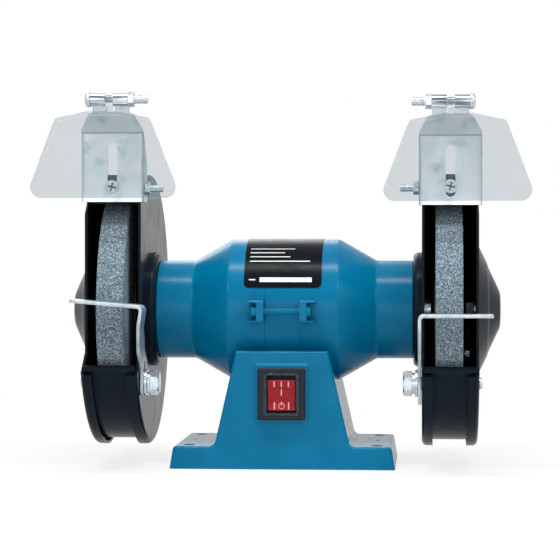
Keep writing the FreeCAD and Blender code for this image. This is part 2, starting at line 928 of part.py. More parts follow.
def wheel_flange(wheel_face, outward):
    """Pressed flange, relieved so that only its rim bears on the wheel."""
    bore = wheel_bore + running_gap
    back = wheel_face + outward * flange_thickness
    relief = wheel_face + outward * flange_relief
    land = flange_radius - flange_land
    return turned([
        (relief, bore), (relief, land), (wheel_face, land), (wheel_face, flange_radius),
        (wheel_face + outward, flange_radius, flange_edge_radius), (back, land), (back, bore),
    ])


def wheel_nut():
    start = wheel_out + flange_thickness
    return nut(at(start, 0, 0), at(start + wheel_nut_height, 0, 0), wheel_nut_across,
               thread_radius + running_gap)


def front_opening():
    """Cutter for the guard's mouth in front of the wheel."""
    far = rim_radius + far_margin
    rim_y = math.sqrt(rim_radius ** 2 - opening_step_low ** 2)
    slope = (opening_step_low - opening_step_top) / (rim_y - chord_y)
    low = opening_step_top + slope * (far - chord_y)
    return sheet_yz([(-far, far), (-chord_y, far), (-chord_y, -opening_step_top), (-far, -low)],
                    0, cover_x + dome_height)


def mouth_top():
    """Cutter that sets the band and the rims back behind the shield bracket."""
    far = rim_radius + far_margin
    return box(plate_x + guard_sheet, cover_x - guard_sheet, -far, -mouth_y, axis_height, axis_height + far)


def rim_points(plate, inward):
    """Sheet that turns from a side plate into its rim, from the plate's outer to its inner face."""
    return [
        (plate, rim_radius, rim_edge_radius),
        (plate + inward * rim_width, rim_radius),
        (plate + inward * rim_width, rim_radius - guard_sheet),
        (plate + inward * guard_sheet, rim_radius - guard_sheet, rim_edge_radius - guard_sheet),
    ]


def inner_guard():
    inner_edge = boss_edge_radius - guard_sheet
    plate = turned([
        (neck_end, boss_hole_radius),
        (neck_end, boss_radius, boss_edge_radius),
        (plate_x, boss_radius),
    ] + rim_points(plate_x, 1) + [
        (plate_x + guard_sheet, boss_radius - guard_sheet),
        (neck_end + guard_sheet, boss_radius - guard_sheet, inner_edge),
        (neck_end + guard_sheet, boss_hole_radius),
    ])
    plate = plate.cut([front_opening(), mouth_top()])
    ear = sheet_yz([
        (-chord_y, chord_y), (-chord_y, guard_ear_height, guard_ear_radius),
        (-guard_ear_flat, guard_ear_height, guard_ear_radius), (-guard_ear_back, guard_ear_fall),
        (-guard_ear_back, chord_y),
    ], plate_x, plate_x + guard_sheet)
    plate = plate.fuse(ear)
    cuts = []
    for angle in guard_screw_angles:
        y, up = spot(angle, guard_screw_circle)
        cuts.append(rod_x(neck_end, neck_end + guard_sheet, y, up, guard_screw_radius + fit_gap))
    sheet_end = plate_x + guard_sheet
    cuts.append(rod_x(plate_x, sheet_end, -rest_bolt_y, -rest_bolt_drop, rest_bolt_radius + rest_slot_gap))
    cuts.append(rod_x(plate_x, sheet_end, -side_bolt_y, side_bolt_height, side_bolt_radius + fit_gap))
    return plate.cut(cuts)


def guard_band():
    start = plate_x + guard_sheet
    end = cover_x - guard_sheet
    band = tube_x(start, end, 0, 0, band_outer, band_inner).cut([front_opening(), mouth_top()])
    hem_y = math.sqrt((band_inner + hem_radius) ** 2 - hem_drop ** 2)
    hem = rod_x(start, end, -hem_y, -hem_drop, hem_radius)
    half = front_tab_width / 2
    web_low = axis_height + guard_web_height
    web = box(guard_mid - half, guard_mid + half, -chord_y, guard_sheet - mouth_y,
              web_low, web_low + guard_sheet)
    tab = box(guard_mid - half, guard_mid + half, -chord_y, -chord_y + guard_sheet,
              web_low, axis_height + guard_ear_height)
    corners = [edge for edge in tab.Edges
               if edge.BoundBox.YLength > guard_sheet / 2 and edge.CenterOfMass.z > web_low + guard_sheet]
    tab = tab.makeFillet(guard_ear_radius, corners)
    parts = [hem, web, tab]
    cuts = []
    for angle in cover_screw_angles:
        ear = box(end - guard_sheet, end, -tab_width / 2, tab_width / 2,
                  axis_height + tab_inner, axis_height + band_inner + guard_sheet / 2)
        ear.rotate(at(0, 0, 0), Vector(1, 0, 0), 90 - angle)
        parts.append(ear)
        y, up = spot(angle, cover_screw_circle)
        cuts.append(rod_x(end - guard_sheet, end, y, up, pan_screw_radius + fit_gap))
    cuts.append(rod(at(guard_mid, -chord_y, bracket_screw_height),
                    at(guard_mid, -chord_y + guard_sheet, bracket_screw_height),
                    bracket_screw_radius + fit_gap))
    return band.fuse(parts).cut(cuts)


def outer_cover():
    dome = [
        (cover_x + dome_height, 0),
        (cover_x + dome_height, dome_crown_radius, dome_crown_round),
        (cover_x + dome_ledge_step, dome_ledge_radius, dome_ledge_round),
        (cover_x + dome_shoulder_step, dome_shoulder_radius, dome_ledge_round / 2),
        (cover_x, dome_foot_radius, dome_foot_round),
    ]
    inside = [(point[0] - guard_sheet,) + point[1:] for point in reversed(dome)]
    cover = turned(dome + rim_points(cover_x, -1) + inside).cut([front_opening(), mouth_top()])
    holes = []
    for angle in cover_screw_angles:
        y, up = spot(angle, cover_screw_circle)
        holes.append(rod_x(cover_x - guard_sheet, cover_x, y, up, pan_screw_radius + fit_gap))
    return cover.cut(holes)


def guard_mount_screws():
    screws = []
    seat = neck_end + guard_sheet
    for angle in guard_screw_angles:
        y, up = spot(angle, guard_screw_circle)
        head = domed_head(at(seat, y, up), at(seat + guard_screw_head, y, up), guard_screw_head_radius)
        tail = seat - guard_screw_length + fit_gap
        screws.append(head.fuse(rod_x(tail, seat, y, up, guard_screw_radius)))
    return screws


def cover_screws_and_nuts():
    screws = []
    nuts = []
    nut_face = cover_x - 2 * guard_sheet
    for angle in cover_screw_angles:
        y, up = spot(angle, cover_screw_circle)
        head = domed_head(at(cover_x, y, up), at(cover_x + pan_head, y, up), pan_head_radius)
        screws.append(head.fuse(rod_x(cover_x - pan_length, cover_x, y, up, pan_screw_radius)))
        nuts.append(nut(at(nut_face, y, up), at(nut_face - pan_nut, y, up), pan_nut_across,
                        pan_screw_radius + running_gap))
    return screws, nuts


def shield_bracket():
    inner = guard_width / 2 + slide_gap
    outer = inner + bracket_sheet
    front = -bracket_front_y
    back = front + bracket_flange
    bend = bracket_bend_radius
    channel = outline([
        (guard_mid - outer, back), (guard_mid - outer, front, bend + bracket_sheet),
        (guard_mid + outer, front, bend + bracket_sheet), (guard_mid + outer, back),
        (guard_mid + inner, back), (guard_mid + inner, front + bracket_sheet, bend),
        (guard_mid - inner, front + bracket_sheet, bend), (guard_mid - inner, back),
    ], in_xy)
    channel.translate(Vector(0, 0, bracket_bottom))
    channel = channel.extrude(Vector(0, 0, bracket_bend - bracket_bottom))
    flange_side = sheet_yz([
        (front - margin, bracket_bottom), (back, bracket_bottom),
        (back, bracket_bottom + bracket_flange_low, guard_ear_radius),
        (front + 2 * bracket_sheet + bend, bracket_bend), (front - margin, bracket_bend),
    ], guard_mid - outer - margin, guard_mid + outer + margin)
    channel = channel.common(flange_side)

    # The strip above the bend leans forward and runs into the back of the rolled knuckles.
    root = Vector(0, -bracket_mid_y, bracket_bend)
    pin = Vector(0, -hinge_y, hinge_height)
    roll = knuckle_bore + bracket_sheet / 2
    toward = pin - root
    lean = FreeCAD.Rotation(Vector(1, 0, 0), -math.degrees(math.asin(roll / toward.Length)))
    run = lean.multVec(toward)
    run.normalize()
    run = run * math.sqrt(toward.Length ** 2 - roll ** 2)
    across = Vector(0, -run.z, run.y)
    across.normalize()
    half_sheet = across * (bracket_sheet / 2)
    tip = root + run
    strip = sheet_yz([
        (point.y, point.z) for point in
        (root - half_sheet, root + half_sheet, tip + half_sheet, tip - half_sheet)
    ], guard_mid - outer, guard_mid + outer)
    half_gap = knuckle_gap / 2
    neck = [
        (outer, bracket_bend - neck_overlap), (outer, bracket_bend + bracket_sheet),
        (neck_half_width, neck_height, neck_round), (knuckle_end, neck_height + margin, knuckle_round),
        (knuckle_end, hinge_height + 2 * knuckle_radius),
        (half_gap, hinge_height + 2 * knuckle_radius), (half_gap, knuckle_slot_height, knuckle_slot_round),
    ]
    front_view = neck + [(-point[0],) + tuple(point[1:]) for point in reversed(neck)]
    front_view = [(guard_mid + point[0],) + tuple(point[1:]) for point in front_view]
    strip = strip.common(sheet_xz(front_view, -hinge_y - 2 * knuckle_radius, 0))

    rolls = []
    bores = []
    for side in (-1, 1):
        ends = sorted((guard_mid + side * half_gap, guard_mid + side * knuckle_end))
        rolls.append(rod_x(ends[0], ends[1], -hinge_y, hinge_height, knuckle_radius))
        bores.append(rod_x(ends[0], ends[1], -hinge_y, hinge_height, knuckle_bore))
    bracket = channel.fuse([strip] + rolls)
    slots = [slot_y(front - margin, front + bracket_sheet + bend, guard_mid, bracket_slot_low,
                    bracket_slot_high, bracket_slot_radius)]
    slots.append(slot_x(guard_mid - outer, guard_mid - inner, -side_bolt_y,
                        side_bolt_height - bracket_travel_up - bracket_lift_left,
                        side_bolt_height + bracket_travel_down,
                        side_bolt_radius + rest_slot_gap))
    return bracket.cut(bores + slots)


def bracket_screw_and_nut():
    head_face = -bracket_front_y - fit_gap
    tab_back = -chord_y + guard_sheet
    up = bracket_screw_height
    head = domed_head(at(guard_mid, head_face, up), at(guard_mid, head_face - bracket_head, up),
                      bracket_head_radius)
    tail = tab_back + bracket_nut + margin
    screw = head.fuse(rod(at(guard_mid, head_face, up), at(guard_mid, tail, up), bracket_screw_radius))
    fixing = nut(at(guard_mid, tab_back, up), at(guard_mid, tab_back + bracket_nut, up),
                 bracket_nut_across, bracket_screw_radius + running_gap)
    return screw, fixing


def side_bolt_and_nut():
    seat = plate_x + guard_sheet
    head = domed_head(at(seat, -side_bolt_y, side_bolt_height),
                      at(seat + side_head, -side_bolt_y, side_bolt_height), side_head_radius)
    nut_face = guard_mid - guard_width / 2 - slide_gap - bracket_sheet - fit_gap
    tail = nut_face - side_nut - side_tail
    bolt = head.fuse(rod_x(tail, seat, -side_bolt_y, side_bolt_height, side_bolt_radius))
    fixing = nut(at(nut_face, -side_bolt_y, side_bolt_height),
                 at(nut_face - side_nut, -side_bolt_y, side_bolt_height), side_nut_across,
                 side_bolt_radius + running_gap)
    return bolt, fixing


def hinge_bolt_and_nut():
    seat = guard_mid + knuckle_end + hinge_side_gap
    head = domed_head(at(seat, -hinge_y, hinge_height), at(seat + hinge_head, -hinge_y, hinge_height),
                      hinge_head_radius)
    nut_face = guard_mid - knuckle_end - hinge_side_gap
    tail = nut_face - hinge_nut - hinge_tail
    bolt = head.fuse(rod_x(tail, seat, -hinge_y, hinge_height, hinge_bolt_radius))
    fixing = nut(at(nut_face, -hinge_y, hinge_height), at(nut_face - hinge_nut, -hinge_y, hinge_height),
                 hinge_nut_across, hinge_bolt_radius + running_gap)
    return bolt, fixing


def eye_shield():
    half = [
        (shield_bottom_half, 0, shield_corner_radius),
        (shield_shoulder_half, shield_shoulder, shield_shoulder_radius),
        (shield_crest_half, shield_crest),
    ]
    points = half + [(-point[0],) + tuple(point[1:]) for point in reversed(half)]
    middle = guard_mid + shield_offset
    points = [(middle + point[0], shield_bottom + point[1]) + tuple(point[2:]) for point in points]
    face = outline(points, in_xz)
    inset = face.makeOffset2D(-shield_rib)
    back = -hinge_y + shield_sheet / 2
    rib = face.cut(inset)
    rib.translate(Vector(0, back - shield_sheet, 0))
    rib = rib.extrude(Vector(0, -shield_rib_height, 0))
    low = axis_height + shield_bottom
    keep = box(0, 2 * guard_mid, -2 * hinge_y, 0, low + shield_rib_from, low + 2 * shield_crest)
    rib = rib.common(keep)
    face.translate(Vector(0, back, 0))
    plate = face.extrude(Vector(0, -shield_sheet, 0))
    half_knuckle = knuckle_gap / 2 - shield_knuckle_gap
    stem = box(guard_mid - half_knuckle, guard_mid + half_knuckle, back - shield_sheet, back,
               low + shield_crest - shield_rib, axis_height + hinge_height)
    roll = rod_x(guard_mid - half_knuckle, guard_mid + half_knuckle, -hinge_y, hinge_height,
                 shield_knuckle_radius)
    bore = rod_x(guard_mid - half_knuckle, guard_mid + half_knuckle, -hinge_y, hinge_height,
                 hinge_bolt_radius + running_gap)
    return plate.fuse([rib, stem, roll]).cut(bore)


def bent_sheet(path, sheet):
    """Outline of a bent strip, with its outer face along path and its inner face to the right of it."""
    normals = []
    for start, end in zip(path, path[1:]):
        along = Vector(end[0] - start[0], end[1] - start[1], 0)
        along.normalize()
        normals.append(Vector(along.y, -along.x, 0))
    inner = []
    for index, point in enumerate(path):
        before = normals[max(index - 1, 0)]
        after = normals[min(index, len(normals) - 1)]
        shift = (before + after) * (sheet / (1 + before.dot(after)))
        radius = [point[2] - sheet] if len(point) > 2 else []
        inner.append((point[0] + shift.x, point[1] + shift.y, *radius))
    return path + inner[::-1]


def tool_rest(lift, lean, slope):
    """L-shaped rest for the right side, raised along its slot by lift.

    Above its knee the leg leans towards the motor, and the table rises outward by slope.
    """
    top = -rest_table_top
    table_back = -(wheel_radius + rest_wheel_gap)
    table_front = table_back - rest_table_depth
    bottom = -rest_leg_bottom
    foot_back = -rest_bolt_y + rest_foot_half
    foot_front = -rest_bolt_y - rest_foot_half
    bend_x = rest_leg_in - (top + rest_knee) * math.tan(math.radians(lean))
    table_end = bend_x + rest_table_width * math.cos(math.radians(slope))
    end_up = top + rest_table_width * math.sin(math.radians(slope))
    bent = sheet_xz(bent_sheet([
        (rest_leg_in, bottom), (rest_leg_in, -rest_knee),
        (bend_x, top, rest_bend_radius + rest_sheet), (table_end, end_up),
    ], rest_sheet), table_front, foot_back)
    side_view = sheet_yz([
        (table_front, end_up + rest_sheet), (table_back, end_up + rest_sheet),
        (table_back, -rest_leg_shoulder, rest_corner_radius),
        (foot_back, -rest_leg_heel, rest_corner_radius),
        (foot_back, bottom, rest_corner_radius), (foot_front, bottom, rest_corner_radius),
        (foot_front, -rest_leg_heel - rest_leg_shoulder / 2, rest_corner_radius),
        (table_front, -rest_leg_shoulder, rest_corner_radius),
    ], bend_x - rest_sheet, table_end + rest_sheet)
    rest = bent.common(side_view)
    corners = []
    for edge in rest.Edges:
        upright = edge.BoundBox.ZLength > rest_sheet / 2 and edge.Length < rest_sheet + fit_gap
        if upright and edge.CenterOfMass.x > table_end - fit_gap:
            corners.append(edge)
    rest = rest.makeFillet(rest_corner_radius / 2, corners)
    slot = slot_x(rest_leg_in, rest_leg_out, -rest_bolt_y, -rest_bolt_drop - rest_slot_down,
                  -rest_bolt_drop + rest_slot_up, rest_bolt_radius + rest_slot_gap)
    rest = rest.cut(slot)
    rest.translate(Vector(0, 0, lift))
    return rest


def rest_bolt_and_washers():
    y, up = -rest_bolt_y, -rest_bolt_drop
    flat_in = rest_leg_in - fit_gap - rest_washer
    spring_in = flat_in - rest_spring_washer
    head_in = spring_in - rest_bolt_head
    tail = plate_x + guard_sheet + rest_nut + rest_bolt_tail
    head = hexagon(at(head_in, y, up), at(spring_in, y, up), rest_bolt_across)
    chamfer = Part.makeCone(rest_bolt_across / 2 - rest_bolt_chamfer, rest_bolt_across / 2 + rest_bolt_head,
                            rest_bolt_head + rest_bolt_chamfer, at(head_in, y, up), Vector(1, 0, 0))
    head = head.common(chamfer)
    bolt = head.fuse(rod_x(spring_in, tail, y, up, rest_bolt_radius))
    bore = rest_bolt_radius + fit_gap
    flat = tube_x(flat_in, flat_in + rest_washer, y, up, rest_washer_radius, bore)
    spring = tube_x(spring_in, flat_in, y, up, rest_spring_washer_radius, bore)
    return bolt, [flat, spring]


def rest_weld_nut():
    seat = plate_x + guard_sheet
    return nut(at(seat, -rest_bolt_y, -rest_bolt_drop), at(seat + rest_nut, -rest_bolt_y, -rest_bolt_drop),
               rest_nut_across, rest_bolt_radius + running_gap)


def upright_block(width, height, y_front, y_back, radius=0):
    """Block centred on the switch, between two depths, with rounded corners."""
    half_w = width / 2
    half_h = height / 2
    face = outline([
        (-half_w, switch_height - half_h, radius), (half_w, switch_height - half_h, radius),
        (half_w, switch_height + half_h, radius), (-half_w, switch_height + half_h, radius),
    ], on_base)
    face.translate(Vector(0, y_front, 0))
    return face.extrude(Vector(0, y_back - y_front, 0))


def switch_housing():
    front = -pad_y - bezel_thickness
    bezel = upright_block(bezel_width, bezel_height, front, -pad_y, bezel_radius)
    rim = []
    for edge in bezel.Edges:
        spread = edge.BoundBox
        if spread.YLength < 1e-6 and spread.YMin < front + 1e-3:
            rim.append(edge)
    bezel = bezel.makeFillet(bezel_edge_radius, rim)
    body = upright_block(switch_body_width, switch_body_height, -pad_y, -pad_y + switch_body_depth)
    seat = upright_block(dust_frame_width + 2 * fit_gap, dust_frame_height + 2 * fit_gap,
                         front, front + dust_frame_seat)
    well = upright_block(rocker_width + 2 * rocker_side_gap, rocker_well_height(), front,
                         pivot_y + rocker_tail + rocker_well_gap)
    pin_reach = rocker_width / 2 + rocker_pin_length + fit_gap
    pin_start = Vector(-pin_reach, pivot_y, switch_height)
    pins = rod(pin_start, pin_start + Vector(2 * pin_reach, 0, 0), rocker_pin_radius + running_gap)
    return bezel.fuse(body).cut([seat, well, pins])


def rocker_well_height():
    reach = math.hypot(rocker_edge, rocker_height / 2)
    lean = math.atan2(rocker_height / 2, rocker_edge) + math.radians(rocker_swing / 2)
    return 2 * (reach * math.sin(lean) + rocker_side_gap)


def switch_dust_frame():
    front = -pad_y - bezel_thickness
    back = front + dust_frame_seat
    outer = upright_block(dust_frame_width, dust_frame_height, front - dust_frame_rise, back, bezel_radius)
    rim = []
    for edge in outer.Edges:
        spread = edge.BoundBox
        if spread.YLength < 1e-6 and spread.YMin < front - dust_frame_rise + 1e-3:
            rim.append(edge)
    outer = outer.makeFillet(dust_frame_edge_radius, rim)
    window = upright_block(dust_frame_width - 2 * dust_frame_wall,
                           max(rocker_well_height(), dust_frame_height - 2 * dust_frame_wall),
                           front - 2 * dust_frame_rise, back)
    return outer.cut(window)


def switch_rocker():
    half = rocker_height / 2
    dip = Vector(0, pivot_y - rocker_dip, switch_height)
    top = Vector(0, pivot_y - rocker_edge, switch_height + half)
    bottom = Vector(0, pivot_y - rocker_edge, switch_height - half)
    tail_top = Vector(0, pivot_y + rocker_tail, switch_height + rocker_tail_half)
    tail_bottom = Vector(0, pivot_y + rocker_tail, switch_height - rocker_tail_half)
    edges = [
        Part.Arc(bottom, dip, top).toShape(), Part.makeLine(top, tail_top),
        Part.makeLine(tail_top, tail_bottom), Part.makeLine(tail_bottom, bottom),
    ]
    face = Part.Face(Part.Wire(edges))
    face.translate(Vector(-rocker_width / 2, 0, 0))
    rocker = face.extrude(Vector(rocker_width, 0, 0))
    corners = []
    for edge in rocker.Edges:
        in_front = edge.CenterOfMass.y < pivot_y - rocker_edge + fit_gap
        if in_front and edge.BoundBox.XLength > rocker_width / 2:
            corners.append(edge)
    rocker = rocker.makeFillet(rocker_corner_radius, corners)
    pin_reach = rocker_width / 2 + rocker_pin_length
    pin_start = Vector(-pin_reach, pivot_y, switch_height)
    rocker = rocker.fuse(rod(pin_start, pin_start + Vector(2 * pin_reach, 0, 0), rocker_pin_radius))
    rocker.rotate(Vector(0, pivot_y, switch_height), Vector(1, 0, 0), rocker_swing / 2)
    return rocker


def switch_terminals():
    back = -pad_y + switch_body_depth
    blades = []
    for step in (-1, 0, 1):
        height = switch_height - terminal_pitch / 2 + step * terminal_pitch
        blades.append(box(-terminal_width / 2, terminal_width / 2, back, back + terminal_length,
                          height - terminal_sheet / 2, height + terminal_sheet / 2))
    return blades


os.makedirs("parts", exist_ok=True)

save("base_casting", [base_casting()])
save("bottom_cover", [bottom_cover()])
save("bottom_cover_screws", bottom_cover_screws())
save("run_capacitor", [run_capacitor()])
save("capacitor_strap", capacitor_strap())
save("capacitor_strap_screws", strap_screws())
save("cord_grommet", [cord_grommet()])

save_sides("end_bell", end_bell())
screws, nuts = housing_screws_and_nuts()
save("housing_screws", screws)
save("housing_nuts", nuts)
save("saddle_screws", saddle_screws())
save("nameplate", [nameplate()])

save("stator_core", [stator_core()])
save("stator_windings", [stator_windings()])
save("rotor_core", [rotor_core()])
save("rotor_shaft", [rotor_shaft()])
outer_race, inner_race = bearing_races()
save_pair("bearing_outer_races", [outer_race])
save_pair("bearing_inner_races", [inner_race])
save_pair("bearing_balls", bearing_balls())

save_sides("grinding_wheel", grinding_wheel())
save_pair("inner_flanges", [wheel_flange(wheel_in, -1)])
save_pair("outer_flanges", [wheel_flange(wheel_out, 1)])
save_pair("wheel_nuts", [wheel_nut()])

save_sides("inner_guard", inner_guard())
save_sides("guard_band", guard_band())
save_sides("outer_cover", outer_cover())
save_pair("guard_mount_screws", guard_mount_screws())
screws, nuts = cover_screws_and_nuts()
save_pair("cover_screws", screws)
save_pair("cover_nuts", nuts)

save_lifted("shield_bracket", shield_bracket())
screw, fixing = bracket_screw_and_nut()
save_pair("bracket_screws", [screw])
save_pair("bracket_nuts", [fixing])
bolt, fixing = side_bolt_and_nut()
save_pair("side_bolts", [bolt])
save_pair("side_nuts", [fixing])
bolt, fixing = hinge_bolt_and_nut()
save_lifted("hinge_bolt", bolt)
save_lifted("hinge_nut", fixing)
save_lifted("eye_shield", eye_shield())

save("right_tool_rest", [tool_rest(0, 0, 0)])
save("left_tool_rest", [mirrored(tool_rest(rest_lift_left, rest_lean_left, rest_slope_left))])
bolt, washers = rest_bolt_and_washers()
save_sides("rest_bolt", bolt)
save("right_rest_washers", washers)
save("left_rest_washers", [mirrored(washer) for washer in washers])
save_pair("rest_weld_nuts", [rest_weld_nut()])

save("switch_housing", [switch_housing()])
save("switch_dust_frame", [switch_dust_frame()])
save("switch_rocker", [switch_rocker()])
save("switch_terminals", switch_terminals())
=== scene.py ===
import json
import math

import bpy
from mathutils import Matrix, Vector


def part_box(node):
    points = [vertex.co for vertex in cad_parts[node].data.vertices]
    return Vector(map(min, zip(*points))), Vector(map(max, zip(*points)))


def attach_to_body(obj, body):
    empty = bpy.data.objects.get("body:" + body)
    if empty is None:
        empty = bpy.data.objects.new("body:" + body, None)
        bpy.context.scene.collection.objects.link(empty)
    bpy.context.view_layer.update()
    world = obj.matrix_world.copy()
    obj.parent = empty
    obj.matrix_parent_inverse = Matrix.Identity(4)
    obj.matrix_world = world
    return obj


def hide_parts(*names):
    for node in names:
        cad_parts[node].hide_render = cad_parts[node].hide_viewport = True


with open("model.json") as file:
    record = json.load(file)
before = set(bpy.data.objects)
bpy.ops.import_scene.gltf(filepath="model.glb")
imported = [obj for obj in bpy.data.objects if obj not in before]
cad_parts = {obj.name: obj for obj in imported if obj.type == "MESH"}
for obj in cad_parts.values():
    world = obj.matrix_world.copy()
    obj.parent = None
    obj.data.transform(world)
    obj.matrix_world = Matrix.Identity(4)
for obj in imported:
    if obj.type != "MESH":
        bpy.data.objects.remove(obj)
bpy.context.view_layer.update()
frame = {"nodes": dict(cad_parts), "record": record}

nodes = frame["nodes"]
bodyOf = {}
for bodyName, members in frame["record"]["behaviour"]["bodies"].items():
    for member in members:
        bodyOf[member] = bodyName
slotOf = {row["node"]: row["material_slot"] for row in frame["record"]["subparts"]}
mm = 0.001
shaftHeight = 0.094
print("frame loaded:", len(nodes), "nodes")


# selecting and editing

def clearSelection():
    if bpy.context.mode != "OBJECT":
        bpy.ops.object.mode_set(mode="OBJECT")
    bpy.ops.object.select_all(action="DESELECT")


def pick(piece):
    clearSelection()
    piece.select_set(True)
    bpy.context.view_layer.objects.active = piece


def startEdit(piece, kind="VERT"):
    pick(piece)
    bpy.ops.object.mode_set(mode="EDIT")
    bpy.ops.mesh.select_mode(type=kind)
    bpy.ops.mesh.select_all(action="SELECT")


def endEdit():
    bpy.ops.object.mode_set(mode="OBJECT")


def settle(piece):
    # place and turn go into the mesh, so the object itself sits at the origin
    pick(piece)
    bpy.ops.object.transform_apply(location=True, rotation=True, scale=True)


def applyModifier(piece, kind, **settings):
    pick(piece)
    modifier = piece.modifiers.new(kind.title(), kind)
    for key, value in settings.items():
        setattr(modifier, key, value)
    bpy.ops.object.modifier_apply(modifier=modifier.name)


def softenEdges(piece, width, segments=2, angle=35):
    if width > 0:
        applyModifier(piece, "BEVEL", width=width, segments=segments, limit_method="ANGLE",
                      angle_limit=math.radians(angle), miter_outer="MITER_ARC", use_clamp_overlap=True)
    pick(piece)
    bpy.ops.object.shade_smooth_by_angle(angle=math.radians(angle))
    applyModifier(piece, "WEIGHTED_NORMAL", keep_sharp=True, weight=60)


weld = {"distance": 2e-6, "flatAngle": math.radians(0.4)}


def copyOfNode(node, name):
    piece = bpy.data.objects.new(name, nodes[node].data.copy())
    bpy.context.scene.collection.objects.link(piece)
    startEdit(piece)
    bpy.ops.mesh.remove_doubles(threshold=weld["distance"])
    bpy.ops.mesh.dissolve_limited(angle_limit=weld["flatAngle"])
    endEdit()
    return piece


def giveFinish(piece, finish):
    piece.data.materials.clear()
    piece.data.materials.append(finish)


def attach(piece, body, finish):
    giveFinish(piece, finish)
    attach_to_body(piece, body)


def standFor(piece, node, finish):
    attach(piece, bodyOf[node], finish)
    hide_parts(node)


# finishes

def srgb(red, green, blue):
    def straight(value):
        value = value / 255
        return value / 12.92 if value <= 0.04045 else ((value + 0.055) / 1.055) ** 2.4
    return (straight(red), straight(green), straight(blue), 1.0)


def newFinish(name, colour, roughness, metallic=0.0):
    finish = bpy.data.materials.new(name)
    finish.use_nodes = True
    shader = finish.node_tree.nodes["Principled BSDF"]
    shader.inputs["Base Color"].default_value = colour
    shader.inputs["Roughness"].default_value = roughness
    shader.inputs["Metallic"].default_value = metallic
    return finish


def addNode(finish, kind, **settings):
    node = finish.node_tree.nodes.new(kind)
    for key, value in settings.items():
        setattr(node, key, value)
    return node


def join(finish, source, target):
    finish.node_tree.links.new(source, target)


def placeCoords(finish):
    return addNode(finish, "ShaderNodeTexCoord").outputs["Object"]


def grain(finish, scale, detail=3.0, roughness=0.5, stretch=None):
    noise = addNode(finish, "ShaderNodeTexNoise")
    noise.inputs["Scale"].default_value = scale
    noise.inputs["Detail"].default_value = detail
    noise.inputs["Roughness"].default_value = roughness
    place = placeCoords(finish)
    if stretch:
        mapping = addNode(finish, "ShaderNodeMapping")
        mapping.inputs["Scale"].default_value = stretch
        join(finish, place, mapping.inputs["Vector"])
        place = mapping.outputs["Vector"]
    join(finish, place, noise.inputs["Vector"])
    return noise.outputs["Fac"]


def ramp(finish, source, stops):
    node = addNode(finish, "ShaderNodeValToRGB")
    join(finish, source, node.inputs["Fac"])
    band = node.color_ramp
    while len(band.elements) < len(stops):
        band.elements.new(0.5)
    for element, (position, colour) in zip(band.elements, stops):
        element.position = position
        element.color = colour
    return node.outputs["Color"]


def grey(value):
    return (value, value, value, 1.0)


def addBump(finish, height, strength, distance):
    bump = addNode(finish, "ShaderNodeBump")
    bump.inputs["Strength"].default_value = strength
    bump.inputs["Distance"].default_value = distance
    join(finish, height, bump.inputs["Height"])
    join(finish, bump.outputs["Normal"], shaderOf(finish).inputs["Normal"])


def shaderOf(finish):
    return finish.node_tree.nodes["Principled BSDF"]


def setSocket(finish, name, value):
    shaderOf(finish).inputs[name].default_value = value


def varyColour(finish, source, stops):
    join(finish, ramp(finish, source, stops), shaderOf(finish).inputs["Base Color"])


def varyRoughness(finish, source, low, high):
    shades = ramp(finish, source, [(0.3, grey(low)), (0.7, grey(high))])
    join(finish, shades, shaderOf(finish).inputs["Roughness"])


def bluePaint():
    finish = newFinish("bluePaint", srgb(0, 107, 146), 0.23)
    varyColour(finish, grain(finish, 60), [(0.3, srgb(0, 102, 140)), (0.7, srgb(1, 112, 152))])
    varyRoughness(finish, grain(finish, 400), 0.19, 0.27)
    addBump(finish, grain(finish, 800, 2), 0.07, 0.0002)
    setSocket(finish, "Specular IOR Level", 0.1)
    return finish


def blackEnamel():
    finish = newFinish("blackEnamel", srgb(18, 27, 36), 0.24)
    varyColour(finish, grain(finish, 50), [(0.3, srgb(17, 26, 34)), (0.7, srgb(19, 29, 38))])
    varyRoughness(finish, grain(finish, 60, 1), 0.22, 0.28)
    addBump(finish, grain(finish, 220, 1), 0.012, 0.0002)
    setSocket(finish, "Specular IOR Level", 0.05)
    return finish


def grit():
    finish = newFinish("grit", srgb(130, 150, 163), 0.9)
    speck = grain(finish, 950, 2.5, 0.75)
    varyColour(finish, speck, [
        (0.34, srgb(52, 66, 77)), (0.46, srgb(92, 110, 122)),
        (0.55, srgb(116, 134, 144)), (0.68, srgb(182, 194, 201)),
    ])
    addBump(finish, grain(finish, 1100, 2, 0.7), 0.6, 0.0006)
    return finish


def zincPlate():
    finish = newFinish("zincPlate", srgb(220, 230, 238), 0.3, 0.85)
    varyColour(finish, grain(finish, 90, 4, 0.6), [(0.32, srgb(206, 218, 227)), (0.68, srgb(233, 241, 247))])
    varyRoughness(finish, grain(finish, 200, 3), 0.24, 0.38)
    return finish


def paintedLitZinc():
    # painted light: a brighter copy of the zinc plate, standing for light on the shield bracket's flat front
    # and on its screws
    finish = newFinish("paintedLitZinc", srgb(244, 250, 254), 0.36, 0.8)
    varyColour(finish, grain(finish, 110, 5, 0.65), [
        (0.36, srgb(212, 221, 224)), (0.46, srgb(238, 247, 252)), (0.66, srgb(252, 254, 255)),
    ])
    varyRoughness(finish, grain(finish, 160, 3), 0.3, 0.42)
    return finish


def rolledZinc():
    # rolling draws the plating into streaks along the knuckles
    finish = newFinish("rolledZinc", srgb(190, 200, 206), 0.24, 0.9)
    streaks = grain(finish, 420, 2, stretch=(0.06, 1.0, 1.0))
    varyColour(finish, streaks, [
        (0.36, srgb(96, 106, 112)), (0.48, srgb(176, 186, 192)), (0.62, srgb(226, 233, 237)),
    ])
    return finish


def dullZinc():
    finish = newFinish("dullZinc", srgb(176, 187, 193), 0.4, 0.85)
    varyColour(finish, grain(finish, 150, 4, 0.6), [(0.3, srgb(158, 170, 177)), (0.7, srgb(192, 202, 207))])
    varyRoughness(finish, grain(finish, 260, 3), 0.32, 0.5)
    return finish


